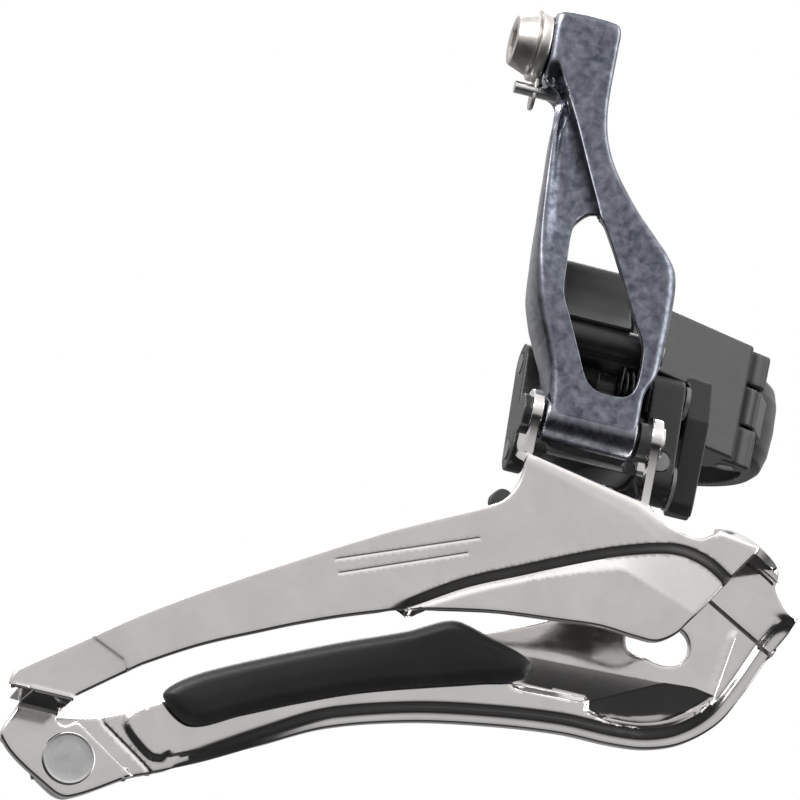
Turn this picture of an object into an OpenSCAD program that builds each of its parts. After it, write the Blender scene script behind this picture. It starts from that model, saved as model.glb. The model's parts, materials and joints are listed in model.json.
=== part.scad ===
// Band-on double front derailleur, built as an assembly of separate sub-parts.
// Millimetres. Origin: centre of the seat tube clamp bore. +X forward, +Y inboard, +Z up the tube.
// "w" below is the distance outboard of the tube axis, so w = -Y.

/* [Clamp] */
// Seat tube diameter the band closes on
tube_d = 28.6; // [28:0.1:32]
// Wall of the ring half on the bracket
ring_t = 2.5; // [2:0.1:4]
// Height of the bracket and its hinge knuckles
clamp_h = 16.2; // [12:0.1:20]
// Clamp bolt shank diameter
clamp_bolt_d = 4.6; // [4:0.1:5]

/* [Linkage] */
// Outboard distance of the outer link's fixed pivot
a_w = 41; // [38:0.1:44]
// Height of the outer link's fixed pivot
a_z = -1.1; // [-4:0.1:4]
// Outboard distance of the pivot between outer link and cage
c_w = 43.9; // [41:0.1:47]
// Height of the pivot between outer link and cage
c_z = -13.8; // [-18:0.1:-10]
// Inboard offset of the inner link's pivots
link_gap_w = 8.5; // [7:0.1:10]
// Drop of the inner link's pivots
link_gap_z = 3.5; // [2:0.1:5]
// Main axle diameter
axle_d = 3; // [2.6:0.1:3.4]
// Inner link axle diameter
axle_small_d = 2.8; // [2.4:0.1:3.2]
// Radial running clearance
fit = 0.05; // [0.02:0.01:0.1]

/* [Outer link] */
// Sheet thickness of the long arm
arm_t = 1.8; // [1.2:0.1:2.4]
// Lean of the arm toward the tube, degrees
arm_lean = 5.7; // [0:0.1:10]

/* [Cage] */
// Outboard face of the outer plate
outer_w = 48.5; // [46:0.1:52]
// Inboard face of the inner plate
inner_w = 34.2; // [32:0.1:36]
// Cage sheet thickness
plate_t = 1.6; // [1.2:0.1:2.2]
// Thickness of the skid pad
pad_t = 2.4; // [1.5:0.1:3.5]

/* [Hidden] */
$fn = 48;
black = [0.08, 0.08, 0.09];
steel = [0.78, 0.78, 0.78];
dark_steel = [0.32, 0.34, 0.38];
tube_r = tube_d / 2;
ring_r = tube_r + ring_t;
half_h = clamp_h / 2;
b_w = a_w - link_gap_w;
b_z = a_z - link_gap_z;
d_w = c_w - link_gap_w;
d_z = c_z - link_gap_z;
link_len = sqrt(pow(c_w - a_w, 2) + pow(c_z - a_z, 2));
link_lean = atan2(c_w - a_w, a_z - c_z);
axle_r = axle_d / 2;
axle_s = axle_small_d / 2;
inner_out = inner_w + 1.8;
hinge_x = 10.7;
hinge_w = 16.2;
hinge_r = 1.2;
knuckle_r = 2.7;
knuckle_top = 3.3;
knuckle_bot = -2.6;
// Fore-and-aft place of the tube axis, as the outlines below are drawn. set() moves it to the origin.
tube_x = 1.7;
ear_x0 = -15.2;
ear_x1 = -11.8;
bracket_rear = -10.6;
bolt_w = 14.6;
bolt_r = clamp_bolt_d / 2;
arm_left = -20.9;
arm_right = -8;
cable_w = -1.7;
cable_z = 52.4;
cable_r = 2;
pin_z = 45.8;
a_loc_w = (a_w - c_w) * cos(arm_lean) + (a_z - c_z) * sin(arm_lean);
a_loc_z = -(a_w - c_w) * sin(arm_lean) + (a_z - c_z) * cos(arm_lean);
low_x = -16.8;
high_x = -11.6;
screw_w = 28.5;

// ---------- placing helpers ----------
module slab(w0, w1) translate([0, -w0, 0]) rotate([90, 0, 0]) linear_extrude(w1 - w0) children();
module rib(x0, x1) translate([x1, 0, 0]) rotate([90, 0, -90]) linear_extrude(x1 - x0) children();
module plan(z0, z1) translate([0, 0, z0]) mirror([0, 1, 0]) linear_extrude(z1 - z0) children();
module rod_x(x0, x1, w, z, r) translate([x0, -w, z]) rotate([0, 90, 0]) cylinder(h = x1 - x0, r = r);
module rod_w(w0, w1, x, z, r) translate([x, -w0, z]) rotate([90, 0, 0]) cylinder(h = w1 - w0, r = r);
module rod_z(z0, z1, x, w, r) translate([x, -w, z0]) cylinder(h = z1 - z0, r = r);
module arm_frame() translate([0, -c_w, c_z]) rotate([-arm_lean, 0, 0]) children();
module link_frame() translate([0, -b_w, b_z]) rotate([-link_lean, 0, 0]) children();
module set() translate([-tube_x, 0, 0]) children();
module tube_bore() rod_z(-20, 20, tube_x, 0, tube_r, $fn = 96);

// ---------- clamp ----------
module bracket_sector() polygon([[tube_x, 0], [20.7, 35], [1.7, 45], [bracket_rear, 45], [bracket_rear, 9.9], [-9.6, 9.4], [-9.6, 0]]);
module band_sector() polygon([[tube_x, 0], [26.7, 30.6], [45, 10], [45, -45], [-45, -45], [-45, 13],
  [ear_x1, 13], [ear_x1, 0]]);

module knuckle_shape() {
  translate([hinge_x, hinge_w]) circle(r = knuckle_r);
  polygon([[5.4, 17], [6.6, 20.8], [9.1, 19.8], [13.7, 17.6], [14.2, 15.9], [10.7, 13.5], [7.4, 14.2]]);
}

module hood_shape() polygon([[bracket_rear, 9.9], [bracket_rear, 20.6], [-19.6, 20.6], [-19.6, 34.2], [-18.6, 35.4],
  [-9.5, 35.4], [-3.4, 30.9], [5.9, 24.7], [10.2, 21.9], [10.7, 20.4], [7.6, 19.4], [6, 14]]);
module heel_shape() polygon([[bracket_rear, 9.9], [bracket_rear, 20.6], [-19.6, 20.6], [-19.6, 24], [-16, 26], [1.6, 26],
  [3, 26.6], [5.9, 24.7], [10.2, 21.9], [10.7, 20.4], [7.6, 19.4], [6, 14]]);
module crown_shape() polygon([[-19.6, 22], [-19.6, 34.2], [-18.6, 35.4], [-9.5, 35.4], [-6, 31], [-6, 22]]);
// Room for the right flange of the outer link at the top of its swing.
module swing_relief() {
  rib(-9.2, -5) polygon([[34.7, 3.6], [34.5, 4.6], [32.1, 10.6], [37, 10.6], [37, 3.6]]);
  rib(-12.2, -9) polygon([[33.9, 7], [32.3, 10.6], [37, 10.6], [37, 7]]);
}

module bracket_body() {
  intersection() {
    rod_z(-half_h, half_h, tube_x, 0, ring_r, $fn = 96);
    plan(-half_h, half_h) bracket_sector();
  }
  plan(-0.9, half_h) hood_shape();
  plan(-half_h, 0) heel_shape();
  plan(half_h - 0.1, 10.3) crown_shape();
  plan(-half_h, knuckle_bot) knuckle_shape();
  plan(knuckle_top, half_h) knuckle_shape();
}

module bracket_leg() rib(1.1, 4.5) polygon([[24, 0], [24, -8], [26.4, -16], [27.4, -19], [28.4, -19.6], [30.6, -19.3],
  [31, -18], [31, -6], [28, 0]]);

module bracket_barrels() {
  rod_x(-20.8, -8.8, a_w, a_z, 2.35);
  rib(-19.6, -10) polygon([[34, -3.6], [34, 8], [35.4, 7.8], [38, 5.6], [40.4, 1.2], [41.6, -3]]);
  rod_x(-20.3, -12.5, b_w, b_z, 2.6);
  rib(-19.6, -12.5) polygon([[b_w - 2.6, b_z], [b_w - 2.6, 0], [b_w + 2.6, 0], [b_w + 2.6, b_z]]);
}

module clamp_bracket() set() color(black) difference() {
  union() {
    bracket_body();
    bracket_leg();
    bracket_barrels();
  }
  tube_bore();
  swing_relief();
  rod_z(knuckle_bot, knuckle_top, hinge_x, hinge_w, knuckle_r + 2.2);
  rod_z(-20, 20, hinge_x, hinge_w, hinge_r);
  rod_x(-12, -5.9, bolt_w, 0, bolt_r + fit);
  rod_x(-30, 0, a_w, a_z, axle_r + fit);
  rod_x(-30, -8, b_w, b_z, axle_s);
  rod_z(-12, 20, low_x, screw_w, 1.4 + fit);
  rod_z(8.4, 20, low_x, screw_w, 2.35);
  rod_z(-12, 20, high_x, screw_w, 1.4 + fit);
  rod_z(8.4, 20, high_x, screw_w, 2.35);
}

module band_ring() translate([tube_x, 0, 0]) rotate_extrude($fn = 96) polygon([[tube_r - 0.5, -5.6], [15.9, -5.6],
  [16.9, -4.7], [17.5, -2.6], [17.7, 0.9], [17.5, 4.3], [16.9, 6.3], [15.9, 7.1], [tube_r - 0.5, 7.1]]);
module band_knuckle() {
  translate([hinge_x, hinge_w]) circle(r = knuckle_r);
  polygon([[9.1, 19.2], [13.5, 17.3], [15.7, 11.4], [14, 10], [10.7, 13.6]]);
}
// The bolt leaves this ear sideways, through the open outboard end of its slot.
module band_ear() difference() {
  plan(-5.4, 5.4) polygon([[ear_x0, 0], [ear_x0, 17], [ear_x0 + 1, 18.4], [ear_x1 - 0.6, 18.4], [ear_x1, 17.4], [ear_x1, 5]]);
  rod_x(-20, 0, bolt_w, 0, bolt_r + 0.3);
  translate([-20, -bolt_w - 10, -bolt_r - 0.3]) cube([20, 10, 2 * bolt_r + 0.6]);
}

module hinged_band() set() color(black) difference() {
  union() {
    intersection() {
      band_ring();
      plan(-10, 10) band_sector();
    }
    plan(knuckle_bot + 0.3, knuckle_top - 0.3) band_knuckle();
    band_ear();
  }
  tube_bore();
  rod_z(-20, knuckle_bot, hinge_x, hinge_w, knuckle_r + 1.2);
  rod_z(knuckle_top, 20, hinge_x, hinge_w, knuckle_r + 1.2);
  rod_z(-20, 20, hinge_x, hinge_w, hinge_r + fit);
}

module band_hinge_pin() set() color(steel) rod_z(-half_h - 0.1, half_h + 0.1, hinge_x, hinge_w, hinge_r);

module clamp_bolt() set() color(steel) difference() {
  union() {
    rod_x(-18.4, -6.4, bolt_w, 0, bolt_r);
    translate([-18.6, -bolt_w, 0]) rotate([0, 90, 0]) cylinder(h = 2.5, r1 = 3.1, r2 = 3.7);
  }
  rod_x(-19, -16.9, bolt_w, 0, 1.7, $fn = 6);
}

module clamp_washer() set() color(steel) difference() {
  rod_x(-16.1, -15.5, bolt_w, 0, 4);
  rod_x(-17, -15, bolt_w, 0, bolt_r);
}

// ---------- limit screws ----------
module limit_screw(x) difference() {
  union() {
    rod_z(-9.2, 9, x, screw_w, 1.4);
    rod_z(8.5, 10, x, screw_w, 2.2);
  }
  translate([x - 2.3, -screw_w - 0.3, 9.3]) cube([4.6, 0.6, 2]);
  translate([x - 0.3, -screw_w - 2.3, 9.3]) cube([0.6, 4.6, 2]);
}
module low_limit_screw() set() color(steel) limit_screw(low_x);
module high_limit_screw() set() color(steel) limit_screw(high_x);

// ---------- return spring ----------
module coil(x) translate([x, -b_w, b_z]) rotate([0, 90, 0]) rotate_extrude() translate([2.35, 0]) circle(r = 0.45, $fn = 16);
module return_spring() set() color(steel) {
  for (i = [0 : 4]) coil(-9.45 + i * 0.95);
  translate([-9.45, -b_w - 2.35, b_z]) cylinder(h = 3.5, r = 0.38, $fn = 16);
  translate([-5.65, -b_w - 2.35, b_z - 3.2]) cylinder(h = 3.2, r = 0.38, $fn = 16);
}

// ---------- outer link ----------
module arm_outline() polygon([[-8, -1], [-8, 1.8], [-7.9, 5.9], [-6.8, 8.7], [-6.1, 13.4], [-6, 19], [-6.2, 22.7],
  [-6.9, 24.7], [-10.6, 28.6], [-13.4, 31.4], [-17.1, 36.1], [-18.9, 39.2], [-19.9, 42], [-20.4, 45.6], [-20.5, 53.3],
  [-20.5, 56], [-21.6, 57.1], [-28.4, 56.9], [-29.5, 55.9], [-29.4, 46.4], [-26.3, 44.6], [-26.9, 39],
  [-26.8, 33], [-26.6, 27.9], [-26.2, 22], [-25.4, 17.1], [-24.2, 13.3], [-22.9, 10.1], [-21.7, 6.6],
  [-20.9, 1.4], [-20.9, -1]]);
module arm_profile() polygon([[3, 0], [3, 57.2], [-6.6, 57.2], [-6.6, 47], [-2.4, 43.4], [-0.8, 40], [-0.6, 34],
  [-1.4, 27], [-3, 21], [-4.7, 17], [-5.1, 12.9], [-4.7, 9.6], [-3.4, 5], [-3, 0]]);
module arm_window() polygon([[-21.7, 26.9], [-21.1, 28.2], [-20, 29.1], [-18.5, 28.8], [-16.6, 26], [-14.4, 21.9],
  [-11.3, 15.7], [-9.8, 13], [-9.4, 11.4], [-9.4, 7.2], [-10, 5.4], [-11.3, 4.6], [-14.6, 4.6], [-16.4, 5.8],
  [-18.3, 9.8], [-20.2, 14], [-21.6, 17.2], [-21.8, 21]]);

module outer_link() set() color(dark_steel) arm_frame() difference() {
  union() {
    difference() {
      intersection() {
        slab(-12, 6) arm_outline();
        rib(-40, 10) arm_profile();
      }
      intersection() {
        slab(-14, 3 - arm_t) offset(delta = -arm_t) arm_outline();
        translate([-50, -30, 3.4]) cube([60, 60, 52]);
      }
    }
    rod_x(arm_left, arm_right, 0, 0, 3);
    rod_x(-23.9, -21.9, a_loc_w, a_loc_z, 2.6);
    rod_x(-8.3, -6.1, a_loc_w, a_loc_z, 3);
  }
  slab(0.5, 6) arm_window();
  rod_x(-30, 0, 0, 0, axle_r + fit);
  rod_x(-30, 0, a_loc_w, a_loc_z, axle_r);
  rod_x(-35, -25, cable_w, cable_z, cable_r + fit);
  rod_x(-35, -25, -1.6, pin_z, 0.85);
}

module outer_link_axle() set() color(steel) arm_frame() rod_x(-24.1, -5.9, a_loc_w, a_loc_z, axle_r);

module cable_bolt() set() color(steel) arm_frame() difference() {
  union() {
    rod_x(-34, -23.4, cable_w, cable_z, cable_r);
    translate([-34, -cable_w, cable_z]) rotate([0, 90, 0]) cylinder(h = 2.6, r1 = 3.2, r2 = 4.4);
    rod_x(-31.4, -31, cable_w, cable_z, 4.4);
  }
  translate([-34.1, -cable_w, cable_z]) rotate([0, 90, 0]) cylinder(h = 1.9, r = 2, $fn = 6);
}

module cable_washer() set() color(steel) arm_frame() difference() {
  union() {
    rod_x(-31, -29.5, cable_w, cable_z, 4.9);
    translate([-30, -cable_w - 1.6, pin_z - 2.4]) cube([0.5, 3.2, 5]);
  }
  rod_x(-32, -28, cable_w, cable_z, cable_r + fit);
  rod_x(-32, -28, -1.6, pin_z, 0.85);
}

module cable_nut() set() color(steel) arm_frame() difference() {
  translate([-27.6, -cable_w, cable_z]) rotate([0, 90, 0]) cylinder(h = 4, r = 2.78, $fn = 6);
  rod_x(-28, -23, cable_w, cable_z, cable_r + fit);
}

module cable_stop_pin() set() color(steel) arm_frame() rod_x(-32.6, -26.6, -1.6, pin_z, 0.85);

// ---------- inner link ----------
module link_bar() {
  circle(r = 2.9);
  translate([0, -link_len]) circle(r = 2.9);
  translate([-2.9, -link_len]) square([5.8, link_len]);
}

module inner_link() set() color(black) link_frame() difference() {
  union() {
    rib(-23.2, -20.8) link_bar();
    rib(-5.1, -0.5) link_bar();
    rib(-21, -4.9) polygon([[-1.6, -9.6], [-1.6, -4], [1.2, -4], [1.2, -9.6]]);
    rib(-21, -15.2) polygon([[-6.6, -6.2], [-6.6, -4.3], [0, -4], [0, -7]]);
  }
  rod_x(-30, 10, 0, 0, axle_s + fit);
  rod_x(-30, 10, 0, -link_len, axle_s);
  rod_w(-5, 5, -2.75, 2.3 - link_len, 1.45);
}

module inner_link_axle() set() color(steel) rod_x(-23.3, 0.2, b_w, b_z, axle_s);

module inner_axle_ring() set() color(steel) difference() {
  rod_x(-0.15, 0.45, b_w, b_z, 2.3);
  rod_x(-1, 0.2, b_w, b_z, axle_s);
}

module cage_inner_axle() set() color(steel) link_frame() difference() {
  rod_x(-23.4, 0.3, 0, -link_len, axle_s);
  rod_w(-5, 5, -2.75, 2.3 - link_len, 1.45);
}

module axle_lock_pin() set() color(steel) link_frame() rod_w(-2.8, 3, -2.75, 2.3 - link_len, 1.45);

module link_side_washer() set() color(steel) link_frame() difference() {
  rod_x(-0.5, 0, 0, -link_len, 3.1);
  rod_x(-1, 1, 0, -link_len, axle_s);
}

// ---------- cage ----------
module outer_outline() polygon([[-85.6, -65.6], [-75.9, -58.3], [-70.2, -54], [-62.6, -48.9], [-52.3, -42.5],
  [-40.1, -35.3], [-33.1, -31.6], [-26.2, -28.1], [-24.4, -26.6], [-23.3, -24.6], [-22.6, -22.4], [-22.3, -21.8],
  [-4.9, -21.8], [-2.8, -24.5], [-0.3, -25.6], [2.6, -25.9], [3.8, -25.3], [5, -24.4], [10.9, -25.1], [11, -25.6],
  [8.2, -29.9], [5.6, -34.3], [3.5, -37.4], [2.1, -39.4], [-0.3, -41], [-3.1, -41.1], [-8.4, -40.8], [-13.9, -41.3],
  [-22.3, -42.2], [-30.2, -43.7], [-34.9, -44.9], [-42.3, -47.5], [-48.8, -50.2], [-53.3, -52.3], [-61.1, -56.1],
  [-68, -60.3], [-70, -61.8], [-76.2, -66.7]]);
module lens_outline() polygon([[-37.5, -45.5], [-33.9, -42.5], [-27.7, -38.6], [-20.2, -35], [-15.6, -32.8], [-9, -29.9],
  [-1.9, -27.6], [1.9, -27.4], [6, -28.7], [9, -30.4], [12, -35], [2, -44], [-30, -46]]);
module inner_outline() polygon([[-83.6, -66.4], [-76, -67.2], [-70, -66], [-61, -61.4], [-44, -52.6], [-27, -45],
  [-12, -38.4], [-5, -31], [0.4, -24.4], [4, -21.8], [8.1, -20.8], [13.5, -22.2], [16.8, -24.6], [17, -26.2],
  [16.8, -27.4], [17.5, -28.6], [19.1, -30.4], [20.7, -31], [18.1, -36.4], [15.5, -42.4], [12.8, -47.4], [8.5, -51.2],
  [3.8, -53.1], [-1.2, -53.7], [-8.3, -53.8], [-18.2, -55], [-29.1, -57.1], [-39.9, -60.5], [-47.7, -64.6],
  [-55.5, -69], [-62.3, -72.3], [-64.8, -73.4], [-72.7, -78.4], [-75.2, -78.1], [-83.8, -72.5]]);
module pad_outline() polygon([[-63, -61.8], [-61.4, -59.4], [-56.3, -56.2], [-41.7, -49.3], [-32, -45.2], [-29.3, -43.7],
  [-26.9, -42.4], [-25.1, -42.3], [-19.9, -43.6], [-15.4, -44.9], [-14.2, -46.1], [-15.1, -48.2], [-20.5, -49.9],
  [-35.7, -54.7], [-44.4, -58.3], [-51.4, -61.6], [-58.5, -64.8]]);
module bead_zone() polygon([[-64, -74], [-40, -57.5], [-20, -51], [4, -49.5], [14, -38], [17, -30.5], [24, -30],
  [20, -60], [-60, -80]]);

module shoulder() rib(-23, -4.9) polygon([[outer_w, -25], [outer_w, -21.6], [47.9, -19.6], [46.8, -18.2], [45.4, -17.5],
  [39.6, -17.5], [39.6, -18.9], [44.8, -18.9], [46, -19.6], [46.7, -20.8], [46.9, -22.2], [46.9, -25]]);
module ear_shape() {
  translate([c_w, c_z]) circle(r = 3.6);
  polygon([[c_w - 3.6, c_z], [c_w + 2.9, c_z + 2], [46.9, -18.3], [40, -18.3]]);
}
module lug_shape() {
  translate([d_w, d_z]) circle(r = 2.6);
  polygon([[d_w, d_z + 2.5], [d_w, d_z - 2.6], [42, -18.9], [42, -17.5], [40, -17.5]]);
}
module tail_web() slab(inner_out, outer_w) polygon([[-85.6, -65.6], [-76.2, -66.7], [-76.4, -68.2], [-85.1, -67.1]]);
module tail_tab() slab(inner_out, inner_out + 1.5) polygon([[-85.4, -66.4], [-76.3, -67.4], [-76.4, -68.6], [-75.3, -68.8],
  [-73.7, -67.9], [-64.8, -73.4], [-72.7, -78.5], [-75.2, -78.1], [-84, -72.5]]);

module outer_cage_plate() set() color(steel) difference() {
  union() {
    difference() {
      slab(outer_w - plate_t, outer_w) outer_outline();
      slab(outer_w - 0.7, outer_w + 1) lens_outline();
    }
    slab(outer_w - plate_t - 0.6, outer_w - plate_t) intersection() {
      outer_outline();
      lens_outline();
    }
    shoulder();
    rib(-23, -21.8) ear_shape();
    rib(-6.1, -4.9) ear_shape();
    rib(-19.8, -18.2) lug_shape();
    rib(-7.2, -5.6) lug_shape();
    tail_web();
    tail_tab();
    slab(inner_out, outer_w) polygon([[4.8, -24.5], [5.2, -23.1], [10.9, -23.9], [11, -25.4]]);
    slab(inner_out, inner_out + 1.4) polygon([[4.8, -24.4], [5.4, -23.1], [11.2, -24], [13.4, -27.4], [10, -30.6], [5, -29.4]]);
  }
  rod_x(-30, 0, c_w, c_z, axle_r);
  rod_x(-30, 0, d_w, d_z, axle_s + fit);
  rod_w(30, 45, -73.9, -73.2, 2);
  rod_w(30, 45, 7, -27.2, 1);
  rod_w(30, 45, 10.8, -27.2, 1);
}

module inner_cage_plate() set() color(steel) difference() {
  union() {
    slab(inner_w, inner_out) inner_outline();
    slab(inner_out, inner_out + 1.1) intersection() {
      difference() {
        inner_outline();
        offset(delta = -1.3) inner_outline();
      }
      bead_zone();
    }
  }
  slab(30, 40) polygon([[-1.3, -37.6], [-1, -39.8], [2, -40.4], [4.2, -41], [6, -40], [6.7, -38.6], [6, -37], [4.4, -36.2],
    [0, -36.4]]);
  rod_w(30, 45, -73.9, -73.2, 2);
  rod_w(30, 45, 7, -27.2, 1);
  rod_w(30, 45, 10.8, -27.2, 1);
  rod_w(30, 45, -50, -59.4, 1.4);
  rod_w(30, 45, -26, -49.4, 1.4);
}

module skid_pad() set() color(black) {
  slab(inner_out, inner_out + pad_t) pad_outline();
  rod_w(inner_w - 0.5, inner_out, -50, -59.4, 1.4);
  rod_w(inner_w - 0.5, inner_out, -26, -49.4, 1.4);
}

module tail_rivet() set() color(steel) {
  rod_w(inner_w - 0.2, inner_out + 1.6, -73.9, -73.2, 2);
  rod_w(inner_out + 1.5, inner_out + 2, -73.9, -73.2, 3.6);
  rod_w(inner_w - 0.9, inner_w, -73.9, -73.2, 3);
}

module small_rivet(x, z) {
  rod_w(inner_w - 0.2, inner_out + 1.5, x, z, 1);
  rod_w(inner_out + 1.4, inner_out + 2, x, z, 1.6);
  rod_w(inner_w - 0.6, inner_w, x, z, 1.6);
}
module bridge_rivet_front() set() color(steel) small_rivet(10.8, -27.2);
module bridge_rivet_rear() set() color(steel) small_rivet(7, -27.2);

module cage_axle() set() color(steel) {
  rod_x(-23.5, -4, c_w, c_z, axle_r);
  rod_x(-24.1, -23, c_w, c_z, 2.7);
}
module cage_axle_clip() set() color(steel) difference() {
  rod_x(-4.9, -4.2, c_w, c_z, 2.5);
  rod_x(-6, 0, c_w, c_z, axle_r);
}
module cage_axle_bush() set() color(steel) difference() {
  rod_x(-7.6, -6.1, c_w, c_z, 2.6);
  rod_x(-9, 0, c_w, c_z, axle_r);
}
module cage_bumper() set() color(black) rod_w(43.6, outer_w - plate_t, -24.6, -26.6, 1.4);

clamp_bracket();
hinged_band();
band_hinge_pin();
clamp_bolt();
clamp_washer();
low_limit_screw();
high_limit_screw();
return_spring();
outer_link();
outer_link_axle();
cable_bolt();
cable_washer();
cable_nut();
cable_stop_pin();
inner_link();
inner_link_axle();
inner_axle_ring();
cage_inner_axle();
axle_lock_pin();
link_side_washer();
outer_cage_plate();
inner_cage_plate();
skid_pad();
tail_rivet();
bridge_rivet_front();
bridge_rivet_rear();
cage_axle();
cage_axle_clip();
cage_axle_bush();
cage_bumper();
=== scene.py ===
"""Looks of the band-on front derailleur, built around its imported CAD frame.

Lengths are millimetres. In the outlines u runs forward and v up. w is the distance outboard of the tube axis.
"""
import json
import math

import bmesh
import bpy
import numpy as np
from mathutils import Matrix, Vector
from mathutils.geometry import delaunay_2d_cdt


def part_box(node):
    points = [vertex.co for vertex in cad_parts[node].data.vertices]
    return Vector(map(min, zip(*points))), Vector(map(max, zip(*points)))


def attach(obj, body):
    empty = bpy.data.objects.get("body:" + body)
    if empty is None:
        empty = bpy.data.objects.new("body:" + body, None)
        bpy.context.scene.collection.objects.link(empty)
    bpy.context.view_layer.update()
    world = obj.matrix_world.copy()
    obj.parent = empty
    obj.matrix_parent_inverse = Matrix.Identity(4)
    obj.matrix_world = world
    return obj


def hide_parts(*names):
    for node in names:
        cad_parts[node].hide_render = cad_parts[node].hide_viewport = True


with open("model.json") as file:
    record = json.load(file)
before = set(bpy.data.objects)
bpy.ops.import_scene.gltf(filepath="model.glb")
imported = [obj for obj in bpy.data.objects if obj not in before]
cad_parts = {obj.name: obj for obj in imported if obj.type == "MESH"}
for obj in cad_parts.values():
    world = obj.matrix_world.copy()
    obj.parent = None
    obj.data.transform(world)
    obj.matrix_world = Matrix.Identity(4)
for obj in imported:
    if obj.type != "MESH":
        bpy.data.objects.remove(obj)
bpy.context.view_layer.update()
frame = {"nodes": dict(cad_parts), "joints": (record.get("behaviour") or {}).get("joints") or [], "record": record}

MM = 0.001
TUBE_U = 1.7
RIM_ROWS = (0.08, 0.2, 0.36)
SHARP = math.radians(38)
GUIDE_GAP = 0.05
ROW_SLACK = 0.06
LEAST_AREA = 1e-7
JOINTS = {j["name"]: j for j in frame["joints"]}


# ---------- sizes that come from the frame ----------
def low_mm(node):
    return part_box(node)[0] / MM


def high_mm(node):
    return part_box(node)[1] / MM


def pivot(joint):
    """Distance outboard and height of a link pivot."""
    p = JOINTS[joint]["pos_m"]
    return -p[1] / MM, p[2] / MM


OUTER_W = -low_mm("outer_cage_plate").y
INNER_W = -high_mm("inner_cage_plate").y + 1.8
A_W, A_V = pivot("outer_link_swing")
B_W, B_V = pivot("inner_link_swing")
C_W, C_V = pivot("cage_level")
D_W = C_W + B_W - A_W
D_V = C_V + B_V - A_V
ARM_LEAN = math.radians(5.7)
AXLE_R = 1.5


# ---------- shader helpers ----------
def node(tree, kind, **values):
    made = tree.nodes.new(kind)
    for key, value in values.items():
        if hasattr(made, key):
            setattr(made, key, value)
        else:
            made.inputs[key].default_value = value
    return made


def noise(tree, coord, scale, detail=4.0, distortion=0.0):
    made = node(tree, "ShaderNodeTexNoise", Scale=scale, Detail=detail, Distortion=distortion)
    tree.links.new(coord, made.inputs["Vector"])
    return made.outputs["Fac"]


def remap(tree, value, a, b, c, d):
    made = node(tree, "ShaderNodeMapRange")
    for i, number in enumerate((a, b, c, d)):
        made.inputs[i + 1].default_value = number
    tree.links.new(value, made.inputs[0])
    return made.outputs[0]


def blend_colour(tree, factor, first, second):
    made = node(tree, "ShaderNodeMix", data_type="RGBA")
    tree.links.new(factor, made.inputs[0])
    for slot, source in ((6, first), (7, second)):
        if isinstance(source, tuple):
            made.inputs[slot].default_value = (*source, 1.0)
        else:
            tree.links.new(source, made.inputs[slot])
    return made.outputs[2]


def stretched(tree, coord, scale):
    made = node(tree, "ShaderNodeMapping")
    made.inputs["Scale"].default_value = scale
    tree.links.new(coord, made.inputs["Vector"])
    return made.outputs["Vector"]


def finish_material(name, dark, light, rough, metallic=1.0, patch=250.0, grain=1500.0, bump=0.1, depth=0.02,
                    edge_wear_and_highlight=None, stretch=(1, 1, 1), dust=None, contrast=(0.35, 0.65)):
    """Metal, paint or plastic with patches, grain and a bump from object coordinates, and convex edges lightened
    by pointiness: partly edge wear, partly a painted highlight.
    """
    mat = bpy.data.materials.new(name)
    mat.use_nodes = True
    tree = mat.node_tree
    shader = tree.nodes["Principled BSDF"]
    coord = node(tree, "ShaderNodeTexCoord").outputs["Object"]
    patches = noise(tree, coord, patch, 5.0, 0.4)
    grains = noise(tree, stretched(tree, coord, stretch), grain, 6.0)
    colour = blend_colour(tree, remap(tree, patches, *contrast, 0, 1), dark, light)
    colour = blend_colour(tree, remap(tree, grains, 0.3, 0.75, 0, 0.35), colour, dark)
    roughness = remap(tree, grains, 0.25, 0.75, *rough)
    if dust:
        specks = remap(tree, noise(tree, coord, grain * 2.2, 2.0), 0.62, 0.74, 0, 0.5)
        colour = blend_colour(tree, specks, colour, dust)
    # Lighter colour on sharp convex edges, found by pointiness: partly edge wear and partly a painted highlight
    # along the edges.
    if edge_wear_and_highlight:
        point = node(tree, "ShaderNodeNewGeometry").outputs["Pointiness"]
        colour = blend_colour(tree, remap(tree, point, 0.515, 0.57, 0, 0.85), colour, edge_wear_and_highlight)
    bumps = node(tree, "ShaderNodeBump", Strength=bump, Distance=depth * MM)
    tree.links.new(grains, bumps.inputs["Height"])
    swell = node(tree, "ShaderNodeBump", Strength=bump * 0.6, Distance=depth * 3 * MM)
    tree.links.new(patches, swell.inputs["Height"])
    tree.links.new(swell.outputs[0], bumps.inputs["Normal"])
    tree.links.new(colour, shader.inputs["Base Color"])
    tree.links.new(roughness, shader.inputs["Roughness"])
    tree.links.new(bumps.outputs[0], shader.inputs["Normal"])
    shader.inputs["Metallic"].default_value = metallic
    return mat


# Each material's edge colour lightens its convex edges: partly edge wear, partly a painted highlight.
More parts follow.
